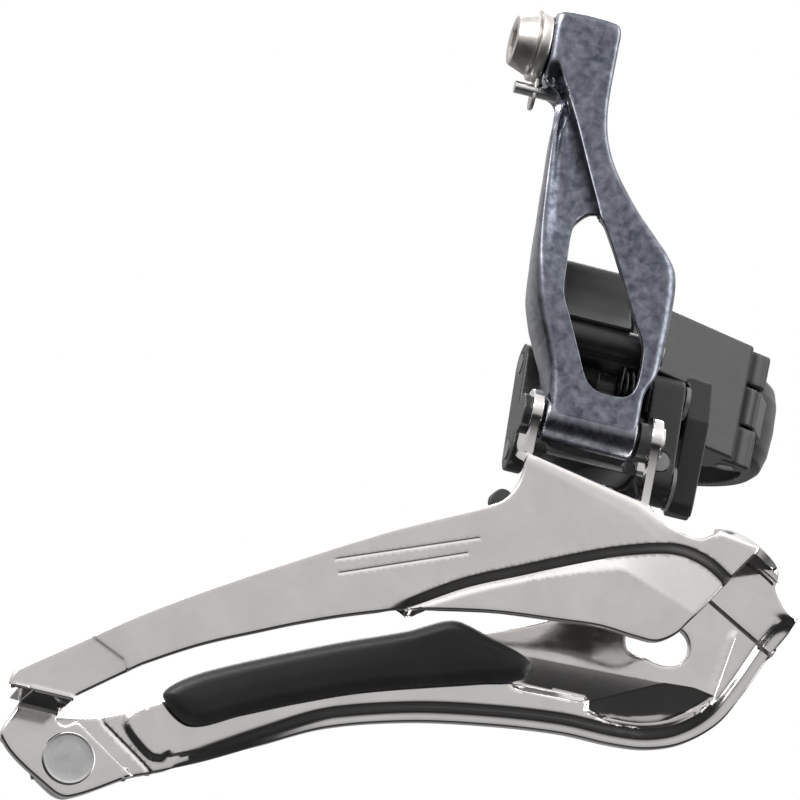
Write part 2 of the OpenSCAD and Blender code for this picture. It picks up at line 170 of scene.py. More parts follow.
MATS = {
    "cage_chrome": finish_material(
        "cage_chrome", (0.78, 0.765, 0.76), (0.86, 0.845, 0.835), (0.07, 0.14), patch=160, grain=900,
        bump=0.05, depth=0.012, stretch=(1, 1, 1.6)),
    "cut_edge": finish_material(
        "cut_edge", (0.5, 0.51, 0.53), (0.75, 0.75, 0.76), (0.25, 0.4), grain=2500, bump=0.15,
        stretch=(1, 6, 1)),
    "arm_steel": finish_material(
        "arm_steel", (0.07, 0.078, 0.105), (0.24, 0.255, 0.3), (0.2, 0.4), patch=800, grain=1500, bump=0.18,
        depth=0.02, edge_wear_and_highlight=(0.45, 0.46, 0.5), contrast=(0.3, 0.7)),
    "bracket_paint": finish_material(
        "bracket_paint", (0.004, 0.004, 0.0048), (0.008, 0.008, 0.009), (0.3, 0.42), metallic=0.0, patch=300,
        grain=4200, bump=0.28, depth=0.02, edge_wear_and_highlight=(0.03, 0.03, 0.033), dust=(0.03, 0.03, 0.032)),
    "band_paint": finish_material(
        "band_paint", (0.006, 0.006, 0.007), (0.011, 0.011, 0.0125), (0.26, 0.38), metallic=0.0, patch=300,
        grain=4200, bump=0.24, depth=0.018, edge_wear_and_highlight=(0.07, 0.07, 0.075), dust=(0.06, 0.06, 0.062)),
    "link_paint": finish_material(
        "link_paint", (0.005, 0.005, 0.006), (0.009, 0.009, 0.0105), (0.3, 0.42), metallic=0.0, patch=350,
        grain=3800, bump=0.22, depth=0.018, edge_wear_and_highlight=(0.06, 0.06, 0.065), dust=(0.05, 0.05, 0.052)),
    "black_pin": finish_material(
        "black_pin", (0.02, 0.02, 0.024), (0.05, 0.05, 0.055), (0.3, 0.45), metallic=0.6, patch=500,
        grain=3000, bump=0.15, edge_wear_and_highlight=(0.2, 0.2, 0.21)),
    "pad_plastic": finish_material(
        "pad_plastic", (0.004, 0.004, 0.005), (0.007, 0.007, 0.0085), (0.4, 0.52), metallic=0.0, patch=220,
        grain=3400, bump=0.2, depth=0.015, edge_wear_and_highlight=(0.04, 0.04, 0.045), stretch=(0.5, 1, 1)),
    "bush_plastic": finish_material(
        "bush_plastic", (0.02, 0.02, 0.022), (0.035, 0.035, 0.038), (0.4, 0.55), metallic=0.0, patch=400,
        grain=3000, bump=0.15),
    "bolt_steel": finish_material(
        "bolt_steel", (0.5, 0.475, 0.455), (0.72, 0.69, 0.67), (0.28, 0.42), patch=900, grain=2600, bump=0.25,
        depth=0.02, edge_wear_and_highlight=(0.85, 0.83, 0.81)),
    "pin_steel": finish_material(
        "pin_steel", (0.42, 0.42, 0.43), (0.62, 0.62, 0.63), (0.22, 0.36), patch=700, grain=2400, bump=0.18,
        edge_wear_and_highlight=(0.8, 0.8, 0.8)),
    "rivet_steel": finish_material(
        "rivet_steel", (0.6, 0.6, 0.605), (0.7, 0.7, 0.705), (0.2, 0.32), patch=500, grain=1800, bump=0.12,
        depth=0.015),
    "spring_steel": finish_material(
        "spring_steel", (0.02, 0.02, 0.022), (0.05, 0.05, 0.053), (0.3, 0.45), patch=600, grain=2600,
        bump=0.12),
}


# ---------- outlines and distances in the sheet's plane ----------
def hermite(a, b, m0, m1, t):
    """The point at t on the arc from a to b that leaves along m0 and arrives along m1."""
    t2, t3 = t * t, t * t * t
    return a * (2 * t3 - 3 * t2 + 1) + m0 * (t3 - 2 * t2 + t) + b * (3 * t2 - 2 * t3) + m1 * (t3 - t2)


def curve(points, hard=(), step=0.5, closed=True):
    """A smooth line through the points; at the hard ones it keeps its corner."""
    pts = [Vector(p) for p in points]
    count = len(pts)
    spans = count if closed else count - 1
    out = []
    for i in range(spans):
        a, b = pts[i], pts[(i + 1) % count]
        length = max((b - a).length, 1e-6)
        start_free = i in hard or (not closed and i == 0)
        end_free = (i + 1) % count in hard or (not closed and i == spans - 1)
        before, after = pts[i - 1], pts[(i + 2) % count]
        m0 = b - a if start_free else (b - before) * (length / (length + (a - before).length))
        m1 = b - a if end_free else (after - a) * (length / (length + (after - b).length))
        steps = max(1, round(length / step))
        out += [hermite(a, b, m0, m1, k / steps) for k in range(steps)]
    if not closed:
        out.append(pts[-1])
    return np.array([(p.x, p.y) for p in out])


def arc(cu, cv, r, a0, a1, count=24):
    return [(cu + r * math.cos(math.radians(a0 + (a1 - a0) * k / count)),
             cv + r * math.sin(math.radians(a0 + (a1 - a0) * k / count))) for k in range(count + 1)]


def circle(cu, cv, r, count=40):
    return np.array(arc(cu, cv, r, 0, 360, count)[:-1])


def inside(poly, q):
    """Which of the points q lie in the polygon."""
    hit = np.zeros(len(q), bool)
    for a, b in zip(poly, np.roll(poly, -1, 0)):
        crosses = (a[1] > q[:, 1]) != (b[1] > q[:, 1])
        at = a[0] + (q[:, 1] - a[1]) * (b[0] - a[0]) / (b[1] - a[1] if b[1] != a[1] else 1e-9)
        hit ^= crosses & (q[:, 0] < at)
    return hit


def side_distance(line, q, closed=False):
    """Distance to a line, positive on its left."""
    line = np.asarray(line, float)
    ends = np.roll(line, -1, 0)
    if not closed:
        line, ends = line[:-1], ends[:-1]
    best = np.full(len(q), 1e9)
    sign = np.ones(len(q))
    for a, b in zip(line, ends):
        d = b - a
        size = max(float(d @ d), 1e-12)
        t = np.clip(((q - a) @ d) / size, 0, 1)
        gap = q - a - t[:, None] * d
        dist = np.hypot(gap[:, 0], gap[:, 1])
        nearer = dist < best - 1e-9
        best[nearer] = dist[nearer]
        cross = d[0] * (q[:, 1] - a[1]) - d[1] * (q[:, 0] - a[0])
        sign[nearer] = np.where(cross[nearer] >= 0, 1, -1)
    return best * sign


def shifted(line, gap):
    """The line moved to its left."""
    along = np.gradient(np.asarray(line, float), axis=0)
    along /= np.maximum(np.hypot(*along.T), 1e-9)[:, None]
    return line + np.column_stack([-along[:, 1], along[:, 0]]) * gap


def ease(x):
    """From 0 to 1 without a corner."""
    t = np.clip(x, 0, 1)
    return t * t * (3 - 2 * t)


def fade(x, start, run):
    """From 0 to 1 over the run past start. A negative run counts downward."""
    return ease((x - start) / run)


def ramp(x, soft):
    """Zero, then x, with a rounded corner between them."""
    return (x + np.sqrt(x * x + soft * soft)) / 2


def round_over(d, r):
    """How far a rounded edge of radius r has dropped at distance d from the edge."""
    left = r - np.clip(d, 0, r)
    return r - np.sqrt(np.maximum(r * r - left * left, 0))


# ---------- mesh helpers ----------
def build(name, verts, faces, mats, face_mats=None):
    mesh = bpy.data.meshes.new(name)
    mesh.from_pydata([tuple(v) for v in verts], [], [tuple(int(i) for i in f) for f in faces])
    mesh.validate()
    for mat in mats:
        mesh.materials.append(mat)
    if face_mats is not None and len(face_mats) == len(mesh.polygons):
        mesh.polygons.foreach_set("material_index", np.asarray(face_mats, np.int32))
    obj = bpy.data.objects.new(name, mesh)
    bpy.context.scene.collection.objects.link(obj)
    smooth_by_angle(obj)
    return obj


def smooth_by_angle(obj, limit=SHARP):
    bm = bmesh.new()
    bm.from_mesh(obj.data)
    for face in bm.faces:
        face.smooth = True
    for edge in bm.edges:
        edge.smooth = not (len(edge.link_faces) == 2 and edge.calc_face_angle() > limit)
    bm.to_mesh(obj.data)
    bm.free()


def fit_piece(obj, body, slot, *nodes):
    """Tie a piece to its body and hide the CAD nodes that it stands for. Its slot is not used."""
    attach(obj, body)
    if nodes:
        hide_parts(*nodes)
    return obj


def ring_gap(rings, q):
    """Distance to the nearest ring."""
    return np.min([np.abs(side_distance(ring, q, True)) for ring in rings], 0)


def within(rings, q):
    """Which points lie in the first ring and outside the others."""
    ok = inside(rings[0], q)
    for ring in rings[1:]:
        ok &= ~inside(ring, q)
    return ok


def guide_lines(rings, lines):
    """What lies on the sheet of each line, clear of the rings."""
    out = []
    for line in lines:
        line = line[within(rings, line)]
        line = line[ring_gap(rings, line) > GUIDE_GAP]
        if len(line) > 1:
            out.append(line)
    return out


def rim_points(rings, rows):
    """Rows of points along every ring."""
    out = []
    for ring in rings:
        along = np.roll(ring, -1, 0) - np.roll(ring, 1, 0)
        normal = np.stack([-along[:, 1], along[:, 0]], 1)
        normal /= np.maximum(np.hypot(*normal.T), 1e-9)[:, None]
        for row in rows:
            for side in (1, -1):
                q = ring + normal * row * side
                q = q[within(rings, q)]
                out.append(q[np.abs(ring_gap(rings, q) - row) < ROW_SLACK * row])
    return out


def grid_points(rings, guides, spacing, margin):
    """A triangular grid over the rest of the sheet."""
    lo, hi = rings[0].min(0), rings[0].max(0)
    us = np.arange(lo[0], hi[0], spacing)
    vs = np.arange(lo[1], hi[1], spacing * 0.866)
    grid = np.array([(u + (k % 2) * spacing / 2, v) for k, v in enumerate(vs) for u in us])
    grid = grid[within(rings, grid)]
    grid = grid[ring_gap(rings, grid) > margin]
    if guides:
        grid = grid[np.min([np.abs(side_distance(g, grid)) for g in guides], 0) > spacing * 0.4]
    return grid


def clean_triangles(rings, flat, tris):
    """The triangles on the sheet, all turned the same way, and the points that they use."""
    tris = tris[within(rings, flat[tris].mean(1))]
    a, b, c = flat[tris[:, 0]], flat[tris[:, 1]], flat[tris[:, 2]]
    area = (b[:, 0] - a[:, 0]) * (c[:, 1] - a[:, 1]) - (b[:, 1] - a[:, 1]) * (c[:, 0] - a[:, 0])
    real = np.abs(area) > LEAST_AREA
    tris, area = tris[real], area[real]
    tris[area < 0] = tris[area < 0][:, ::-1]
    used, tris = np.unique(tris, return_inverse=True)
    return flat[used], tris.reshape(-1, 3)


def plane_mesh(rings, lines, spacing, rows):
    """Triangles that fill the first ring outside the others and follow every ring and line."""
    guides = guide_lines(rings, lines)
    edges = []
    start = 0
    for ring in rings:
        edges += [(start + i, start + (i + 1) % len(ring)) for i in range(len(ring))]
        start += len(ring)
    for line in guides:
        gaps = np.hypot(*(line[1:] - line[:-1]).T)
        edges += [(start + i, start + i + 1) for i in range(len(line) - 1) if gaps[i] < 3 * spacing]
        start += len(line)
    grid = grid_points(rings, guides, spacing, rows[-1] + spacing * 0.45)
    every = np.concatenate([*rings, *guides, *rim_points(rings, rows), grid])
    verts, _, faces, *_ = delaunay_2d_cdt([Vector(p) for p in every], edges, [], 0, 1e-5)
    flat = np.array([(p.x, p.y) for p in verts])
    return clean_triangles(rings, flat, np.array([f for f in faces if len(f) == 3]))


def point_normals(verts, tris):
    """Area-weighted normal at every point."""
    a, b, c = verts[tris[:, 0]], verts[tris[:, 1]], verts[tris[:, 2]]
    face = np.cross(b - a, c - a)
    out = np.zeros_like(verts)
    for k in range(3):
        np.add.at(out, tris[:, k], face)
    return out / np.maximum(np.linalg.norm(out, axis=1), 1e-12)[:, None]


def mirrors(place):
    """Whether a placement turns a piece inside out."""
    origin = place(np.zeros((1, 3)))[0]
    return np.linalg.det([place(axis[None])[0] - origin for axis in np.eye(3)]) < 0


def sheet(name, outline, height, thick, place, mats, holes=(), lines=(), spacing=0.5, rim=0.3, rows=RIM_ROWS):
    """A pressed sheet: its outer face stands at height(u, v), and thick is measured square to it."""
    rings = [outline, *holes]
    q, tris = plane_mesh(rings, lines, spacing, rows)
    base = np.column_stack([q, height(q)])
    normal = point_normals(base, tris)
    drop = round_over(ring_gap(rings, q), rim)[:, None]
    front = base - normal * drop
    depth = (thick(q) if callable(thick) else np.full(len(q), thick))[:, None]
    back = base - normal * (depth - drop)
    count = len(q)
    pairs = dict.fromkeys((tri[i], tri[(i + 1) % 3]) for tri in tris for i in range(3))
    rim_edges = [(i, j) for i, j in pairs if (j, i) not in pairs]
    faces = [tuple(t) for t in tris] + [tuple(t[::-1] + count) for t in tris]
    faces += [(i, i + count, j + count, j) for i, j in rim_edges]
    face_mats = [0] * (2 * len(tris)) + [len(mats) - 1] * len(rim_edges)
    if mirrors(place):
        faces = [f[::-1] for f in faces]
    return build(name, place(np.concatenate([front, back])) * MM, faces, mats, face_mats)


def outboard(p):
    """u forward, v up, height outboard."""
    return np.column_stack([p[:, 0] - TUBE_U, -p[:, 2], p[:, 1]])


def crosswise(u0):
    """A plate across the object: its own u is outboard, v up, and height forward from u0."""
    return lambda p: np.column_stack([p[:, 2] + u0 - TUBE_U, -p[:, 0], p[:, 1]])


def leaning(p):
    """The outer link's own frame: origin on the cage axle, v along the arm, height outboard."""
    c, s = math.cos(ARM_LEAN), math.sin(ARM_LEAN)
    outward = C_W + p[:, 2] * c - p[:, 1] * s
    upward = C_V + p[:, 2] * s + p[:, 1] * c
    return np.column_stack([p[:, 0] - TUBE_U, -outward, upward])


def sleeve(rings, count):
    """The faces between neighbouring rings of count points."""
    faces = []
    for i in range(rings - 1):
        for k in range(count):
            n = (k + 1) % count
            faces.append((i * count + k, i * count + n, (i + 1) * count + n, (i + 1) * count + k))
    return faces


def end_caps(rings, count):
    last = (rings - 1) * count
    return [tuple(range(count))[::-1], tuple(last + k for k in range(count))]


def lathe(name, rows, centre, axis, mats, count=72, closed=True):
    """A turned piece from rows of (distance along the axis, radius, hexagonal or not).

    It has flat ends, or it is a ring where closed is off.
    """
    axis = Vector(axis).normalized()
    side = axis.orthogonal().normalized()
    other = axis.cross(side)
    verts = []
    for along, radius, hexed in rows:
        for k in range(count):
            angle = 2 * math.pi * k / count
            wrapped = (angle % (math.pi / 3)) - math.pi / 6
            r = radius * (math.cos(math.pi / 6) / math.cos(wrapped) if hexed else 1.0)
            p = Vector(centre) + axis * along + (side * math.cos(angle) + other * math.sin(angle)) * r
            verts.append(p * MM)
    faces = sleeve(len(rows), count)
    if closed:
        faces += end_caps(len(rows), count)
    else:
        last = (len(rows) - 1) * count
        faces += [(last + k, last + (k + 1) % count, (k + 1) % count, k) for k in range(count)]
    return build(name, verts, faces, mats)


def tube(name, path, radius, mats, count=14):
    """A round wire along a path."""
    path = [Vector(p) for p in path]
    verts = []
    side = None
    for i, p in enumerate(path):
        ahead = (path[min(i + 1, len(path) - 1)] - path[max(i - 1, 0)]).normalized()
        side = ahead.orthogonal() if side is None else side - ahead * side.dot(ahead)
        side.normalize()
        other = ahead.cross(side)
        for k in range(count):
            angle = 2 * math.pi * k / count
            verts.append((p + (side * math.cos(angle) + other * math.sin(angle)) * radius) * MM)
    return build(name, verts, sleeve(len(path), count) + end_caps(len(path), count), mats)


def softened(cad_node, name, voxel, passes, mats):
    """The CAD solid with its edges rolled over, as a casting or a tumbled part has them."""
    source = frame["nodes"][cad_node]
    rough = bpy.data.objects.new(name + "_rough", source.data.copy())
    bpy.context.scene.collection.objects.link(rough)
    remesh = rough.modifiers.new("remesh", "REMESH")
    remesh.mode = "VOXEL"
    remesh.voxel_size = voxel * MM
    relax = rough.modifiers.new("relax", "SMOOTH")
    relax.factor = 0.5
    relax.iterations = passes
    bpy.context.view_layer.update()
    graph = bpy.context.evaluated_depsgraph_get()
    mesh = bpy.data.meshes.new_from_object(rough.evaluated_get(graph), depsgraph=graph)
    bpy.data.objects.remove(rough)
    mesh.name = name
    mesh.materials.clear()
    for mat in mats:
        mesh.materials.append(mat)
    obj = bpy.data.objects.new(name, mesh)
    bpy.context.scene.collection.objects.link(obj)
    smooth_by_angle(obj, math.radians(60))
    return obj


# ---------- camera, light and stage ----------
VIEW_RIGHT = Vector((0.9577, -0.2126, 0.1947))
VIEW_UP = Vector((-0.2332, -0.1742, 0.9567))
VIEW_BACK = VIEW_RIGHT.cross(VIEW_UP)
TARGET = Vector((-0.0401, -0.0316, -0.0133))
CAMERA_GAP = 1.8
SENSOR = 36.0
NEAR_SIDE = 0.0085
SEEN_WIDTH = 0.1081
FLOOR_Z = -0.5


def make_camera():
    data = bpy.data.cameras.new("camera")
    data.sensor_width = SENSOR
    data.lens = SENSOR * (CAMERA_GAP - NEAR_SIDE) / SEEN_WIDTH
    data.clip_end = 20.0
    cam = bpy.data.objects.new("camera", data)
    bpy.context.scene.collection.objects.link(cam)
    basis = Matrix((VIEW_RIGHT, VIEW_UP, VIEW_BACK)).transposed().to_4x4()
    basis.translation = TARGET + VIEW_BACK * CAMERA_GAP
    cam.matrix_world = basis
    bpy.context.scene.camera = cam


def area_light(name, where, size, power, colour=(1, 1, 1)):
    data = bpy.data.lights.new(name, "AREA")
    data.shape = "RECTANGLE"
    data.size, data.size_y = size
    data.energy = power
    data.color = colour
    lamp = bpy.data.objects.new(name, data)
    bpy.context.scene.collection.objects.link(lamp)
    lamp.location = where
    lamp.rotation_euler = (TARGET - Vector(where)).to_track_quat("-Z", "Y").to_euler()


STUDIO = ((0.0, 0.16), (0.12, 0.05), (0.36, 0.02), (0.44, 0.06), (0.48, 0.3), (0.53, 0.52), (0.62, 0.62),
          (0.72, 0.95), (0.85, 1.25), (1.0, 1.0))


def room_colour(tree):
    """A room that is bright above and dark below, with a glow low down behind the object."""
    coord = node(tree, "ShaderNodeTexCoord").outputs["Generated"]
    split = node(tree, "ShaderNodeSeparateXYZ")
    tree.links.new(coord, split.inputs[0])
    height = remap(tree, split.outputs[2], -1, 1, 0, 1)
    shades = node(tree, "ShaderNodeValToRGB")
    stops = shades.color_ramp.elements
    while len(stops) < len(STUDIO):
        stops.new(0.5)
    for stop, (at, value) in zip(stops, STUDIO):
        stop.position = at
        stop.color = (value, value * 0.985, value * 0.975, 1.0)
    tree.links.new(height, shades.inputs[0])
    behind = remap(tree, split.outputs[1], 0.3, 0.9, 0, 1)
    below = remap(tree, split.outputs[2], -0.08, -0.26, 0, 0.42)
    glow = node(tree, "ShaderNodeMath", operation="MULTIPLY")
    tree.links.new(behind, glow.inputs[0])
    tree.links.new(below, glow.inputs[1])
    return blend_colour(tree, glow.outputs[0], shades.outputs[0], (0.78, 0.78, 0.8))


def make_world():
    """White behind the object, and the room for its reflections."""
    world = bpy.data.worlds.new("studio")
    bpy.context.scene.world = world
    world.use_nodes = True
    tree = world.node_tree
    tree.nodes.clear()
    lit = room_colour(tree)
    room = node(tree, "ShaderNodeBackground", Strength=1.0)
    tree.links.new(lit, room.inputs[0])
    white = node(tree, "ShaderNodeBackground", Strength=1.0)
    white.inputs[0].default_value = (1, 1, 1, 1)
    ray = node(tree, "ShaderNodeLightPath")
    mix = node(tree, "ShaderNodeMixShader")
    tree.links.new(ray.outputs["Is Camera Ray"], mix.inputs[0])
    tree.links.new(room.outputs[0], mix.inputs[1])
    tree.links.new(white.outputs[0], mix.inputs[2])
    out = node(tree, "ShaderNodeOutputWorld")
    tree.links.new(mix.outputs[0], out.inputs[0])


def make_floor():
    half = 2.5
    count = 8
    steps = [(-half + 2 * half * i / count) for i in range(count + 1)]
    verts = [(x, y, FLOOR_Z) for y in steps for x in steps]
    row = count + 1
    faces = [(j * row + i, j * row + i + 1, (j + 1) * row + i + 1, (j + 1) * row + i)
             for j in range(count) for i in range(count)]
    pale = finish_material("pale_floor", (0.8, 0.8, 0.8), (0.84, 0.84, 0.84), (0.7, 0.85), metallic=0.0,
                           patch=3, grain=60, bump=0.02)
    floor = build("floor", verts, faces, [pale])
    floor.visible_glossy = False


def make_stage():
    make_camera()
    make_world()
    make_floor()
    area_light("key", (-0.75, -0.9, 0.95), (0.7, 0.7), 16, (1.0, 0.985, 0.97))
    area_light("right", (1.1, -0.35, 0.35), (0.7, 1.2), 7)
    area_light("back", (0.1, 0.9, 0.9), (0.9, 0.5), 9)
    bpy.context.scene.view_settings.view_transform = "Standard"


# ---------- outer cage plate ----------
OUTER_EDGE = [(-84.2, -64.55), (-75.9, -58.3), (-70.2, -54), (-62.6, -48.9), (-52.3, -42.5),
              (-40.1, -35.3), (-33.1, -31.6), (-26.2, -28.1), (-24.4, -26.6), (-23.3, -24.6),
              (-22.8, -22.4), (-22.8, -17.42), (-4.9, -17.42), (-4.9, -21.9), (-2.8, -24.5), (-0.3, -25.6),
              (2.6, -25.9), (3.8, -25.3), (5, -24.4), (10.9, -25.1), (11, -25.6), (8.2, -29.9),
              (5.6, -34.3), (3.5, -37.4), (2.1, -39.4), (-0.3, -41), (-3.1, -41.1), (-8.4, -40.8),
              (-13.9, -41.3), (-22.3, -42.2), (-30.2, -43.7), (-34.9, -44.9), (-42.3, -47.5),
              (-48.8, -50.2), (-53.3, -52.3), (-61.1, -56.1), (-68, -60.3), (-70, -61.8), (-76.2, -66.7),
              (-76.5, -68.4), (-75.3, -68.9), (-73.7, -67.9), (-64.8, -73.4), (-72.7, -78.3),
              (-75.2, -78.0), (-83.3, -72.5), (-82.0, -67.81), (-82.05, -67.5), (-85.2, -67.46),
              (-85.3, -67.15), (-85.3, -66.2), (-84.9, -65.2)]
OUTER_HARD = (1, 11, 12, 18, 19, 20, 38, 41, 42, 46, 47, 48, 49)
GROOVE = curve([(-39.5, -46.6), (-37.5, -44.9), (-33.9, -42.5), (-27.7, -38.6), (-20.2, -35), (-15.6, -32.8),
                (-9, -29.9), (-1.9, -27.6), (1.9, -27.4), (6, -28.7), (12, -33)], (), 0.4, False)
LENS = curve([(-37, -45.5), (-33.6, -44.2), (-27.5, -40.9), (-22.5, -38.3), (-14.5, -34.9), (-6.9, -32.3),
              (4.1, -36.1), (9, -44), (-20, -52), (-36.8, -46.2)], (0, 5, 6, 7, 8, 9), 0.4)
LENS_EDGE = LENS[:120]
JOGGLE = [(-77, -57.4), (-75.9, -58.1), (-70.8, -60.3), (-70.2, -61.3), (-69.6, -62.4)]
MARKS = ([(-45.5, -40.4), (-27, -33.0)], [(-44.8, -42.2), (-28.2, -35.4)])
CREST = [(-27, -19.2), (-21.4, -20.1), (-14.4, -21.4), (-6.75, -22.8), (-2.8, -24.5), (0.5, -25.9)]
CREST_SOFT = 0.07
SHELF_TOP = -17.42
SHELF_RISE = 8.9
SHELF_LEFT = -26
SHELF_RIGHT = 0
GROOVE_START = -39
GROOVE_ENTRY = 9
GROOVE_WIDE = 1.35
GROOVE_DEEP = 0.95
LENS_DEEP = 0.5
MARK_WIDE = 0.2
MARK_DEEP = 0.05
JOGGLE_DEEP = 0.08
JOGGLE_RUN = 0.5
JOGGLE_END = -66
SHEET_THICK = 1.5
BEND_V = -67.15
BEND = [(-88, BEND_V), (-70, BEND_V)]
BEND_END = -64
BEND_THICK = 0.75
BEND_ROUND = 0.7
BEND_RUN = 0.66
BEND_ROWS = (0, 0.04, 0.09, 0.15, 0.21, 0.27, 0.31, 0.33, 0.35, 0.39, 0.45, 0.51, 0.57, 0.62, 0.66)


def bend_drop(run):
    """A near upright web with a rounded bend at its top and its foot, over the bend's run."""
    full = OUTER_W - INNER_W - SHEET_THICK
    half = BEND_RUN / 2
    upper = np.clip(run, 0, half)
    lower = np.clip(BEND_RUN - run, 0, half)
    top = BEND_ROUND * (1 - np.sqrt(np.maximum(1 - (upper / half) ** 2, 0)))
    foot = full - BEND_ROUND * (1 - np.sqrt(np.maximum(1 - (lower / half) ** 2, 0)))
    return np.where(run <= half, top, foot)


def groove_sink(q):
    """How far the groove, and the lens below it, lie under the plate's face."""
    d = -side_distance(GROOVE, q)
    gap = np.where(inside(LENS, q), 0, np.abs(side_distance(LENS, q, True)))
    entry = fade(q[:, 0], GROOVE_START, GROOVE_ENTRY)
    deep = entry * GROOVE_DEEP
    pad = entry * LENS_DEEP
    past = np.maximum(d - GROOVE_WIDE, 0)
    floor = pad + (deep - pad) * gap / np.maximum(gap + past, 1e-6)
    return np.where(d <= 0, 0, np.where(d < GROOVE_WIDE, deep * ease(d / GROOVE_WIDE), floor))


def shelf_rise(q):
    """The shoulder that turns outboard under the yoke's ears."""
    crest = np.interp(q[:, 0], *np.array(CREST).T)
    rise = (q[:, 1] - crest) / (SHELF_TOP - crest)
    ends = fade(q[:, 0], SHELF_LEFT, 2.5) * fade(q[:, 0], SHELF_RIGHT, -4)
    return SHELF_RISE * ramp(rise, CREST_SOFT) * ends * fade(rise, -0.5, 0.2)


def outer_height(q):
    """The outer plate's face: groove, step at the tail, web bend, engraved lines and shoulder."""
    h = OUTER_W - groove_sink(q)
    h -= JOGGLE_DEEP * fade(side_distance(JOGGLE, q), 0, -JOGGLE_RUN) * (q[:, 0] < JOGGLE_END)
    bend = bend_drop(-side_distance(BEND, q)) - JOGGLE_DEEP
    h -= bend * (q[:, 0] < BEND_END) * (q[:, 1] < BEND_V)
    for mark in MARKS:
        h -= MARK_DEEP * (1 - ease(np.abs(side_distance(mark, q)) / MARK_WIDE))
    return h - shelf_rise(q)


def outer_thick(q):
    """Half the sheet's thickness at the web's tight bend, so that its inside doesn't fold over."""
    near = np.abs(q[:, 1] - BEND_V + 0.1) < BEND_THICK
    return np.where(near & (q[:, 0] < BEND_END), BEND_THICK, SHEET_THICK)


def beside(line, gaps):
    """Copies of the line at each gap to its left."""
    return [shifted(line, gap) for gap in gaps]


def outer_plate():
    lines = beside(GROOVE[GROOVE[:, 0] > -37], (0, -0.3, -0.7, -1.05, -GROOVE_WIDE))
    lines += [LENS_EDGE[(LENS_EDGE[:, 0] > -35) & (LENS_EDGE[:, 1] > -37)]]
    lines += [np.array([(u, BEND_V - s) for u in np.arange(-86, -75.5, 0.4)]) for s in BEND_ROWS]
    lines += beside(curve(CREST[1:], (2,), 0.4, False), (-0.7, -0.4, -0.2, -0.08, 0, 0.08, 0.2, 0.4, 0.7))
    lines += beside(curve(JOGGLE, (), 0.3, False), (0, -0.25, -JOGGLE_RUN))
    for mark in MARKS:
        lines += beside(curve(mark, (), 0.3, False), (-0.2, -0.1, 0, 0.1, 0.2))
    outline = curve(OUTER_EDGE, OUTER_HARD, 0.45)
    plate = sheet("cage_outer_sheet", outline, outer_height, outer_thick, outboard,
                  [MATS["cage_chrome"]], lines=lines, spacing=0.45, rim=0.3)
    fit_piece(plate, "cage", "cage_chrome", "outer_cage_plate")


def flat(value):
    """A height that is the same everywhere."""
    return lambda q: np.full(len(q), float(value))


def ear_outline(foot):
    return np.array(arc(C_W, C_V, 3.6, -25, 200) + [(39.8, -18.3), foot])


def yoke_ears():
    """The two ears on the cage axle and the two lugs on the inner link's axle."""
    lug = np.array(arc(D_W, D_V, 2.2, 60, 275) + [(39.6, -17.6), (39.4, -17.42), (38.6, -17.3)])
    hole = circle(C_W, C_V, AXLE_R)
    small = circle(D_W, D_V, 1.45)
    for name, shape, bore, u0, thick, slot in (
            ("cage_ear_left", ear_outline((47.2, -19.6)), hole, -21.6, 1.5, "cage_chrome"),
            ("cage_ear_right", ear_outline((47.6, -22.9)), hole, -4.7, 1.6, "cage_chrome"),
            ("cage_lug_left", lug, small, -18.2, 1.6, "black_pin"),
            ("cage_lug_right", lug, small, -5.6, 1.6, "black_pin")):
        piece = sheet(name, shape, flat(0), thick, crosswise(u0), [MATS[slot]], [bore], spacing=0.6, rim=0.25)
        fit_piece(piece, "cage", slot)


BRIDGE_LEFT = [(5.1, 48.2, -25.0), (5.2, 48.0, -24.5), (5.3, 47.6, -24.2), (5.5, 47.0, -23.9),
               (6.0, 44.0, -23.1), (6.4, 40.0, -22.2), (6.5, 38.4, -22.0), (6.6, 37.75, -22.4),
               (6.7, 37.5, -23.2), (6.9, 37.4, -26.0)]
BRIDGE_RIGHT = [(10.7, 48.2, -25.7), (10.9, 48.0, -25.25), (11.1, 47.6, -25.05), (11.5, 47.0, -24.98),
                (13.2, 44.0, -24.9), (15.2, 40.0, -24.9), (15.9, 38.4, -25.0), (16.2, 37.75, -25.4),
                (16.4, 37.5, -26.0), (16.5, 37.4, -27.0)]
BRIDGE_BULGE = 1.4
BRIDGE_THICK = 1.0


def through(points, parts=6):
    """A line in space through the points, without overshoot."""
    pts = [Vector(p) for p in points]
    out = []
    for i in range(len(pts) - 1):
        a, b = pts[i], pts[i + 1]
        before, after = pts[max(i - 1, 0)], pts[min(i + 2, len(pts) - 1)]
        m0, m1 = (b - before) * 0.5, (after - a) * 0.5
        reach = (b - a).length
        m0 *= min(1.0, reach / max(m0.length, 1e-6))
        m1 *= min(1.0, reach / max(m1.length, 1e-6))
        out += [hermite(a, b, m0, m1, k / parts) for k in range(parts)]
    out.append(pts[-1])
    return np.array([tuple(p) for p in out])


def slab_faces(rows, n):
    """Both sides and the rim of a slab of rows by n points; the back's points follow the front's."""
    off = rows * n
    faces = []
    for i in range(rows - 1):
        for k in range(n - 1):
            a = i * n + k
            faces.append((a, a + n, a + n + 1, a + 1))
            faces.append((off + a, off + a + 1, off + a + n + 1, off + a + n))
        for k in (0, n - 1):
            a = i * n + k
            faces.append((a, off + a, off + a + n, a + n))
    for i in (0, rows - 1):
        for k in range(n - 1):
            a = i * n + k
            faces.append((a, a + 1, off + a + 1, off + a))
    return faces


